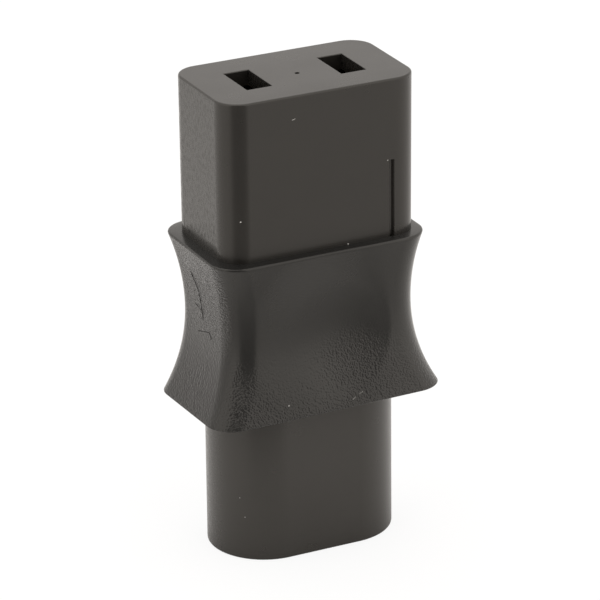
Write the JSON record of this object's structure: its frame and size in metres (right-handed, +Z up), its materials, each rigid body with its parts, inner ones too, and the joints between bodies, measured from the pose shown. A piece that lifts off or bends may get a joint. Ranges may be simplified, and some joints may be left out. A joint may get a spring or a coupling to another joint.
{
  "type": "power plug adapter",
  "caption": "Black in-line mains adapter: waisted grip collar with thumb dishes between a flat-slot outlet block and a figure-of-eight pin inlet.",
  "frame": {"origin": "centre of the inlet's mouth, on the plane that the adapter stands on", "axes": "+Z up from the inlet's mouth to the outlet face, X along the long side of the section, front face towards -Y"},
  "size_m": [0.0248, 0.0152, 0.0483],
  "materials": {
    "housing_plastic": "smooth satin moulding",
    "grip_plastic": "leather-grained moulding",
    "contact_brass": "rolled strip",
    "pin_plating": "bright nickel plate on brass"
  },
  "bodies": {
    "root": {"outlet_housing": "housing_plastic", "inlet_shroud": "housing_plastic", "grip_collar": "grip_plastic", "contact_left": "contact_brass", "contact_right": "contact_brass", "pin_left": "pin_plating", "pin_right": "pin_plating"}
  },
  "joints": []
}
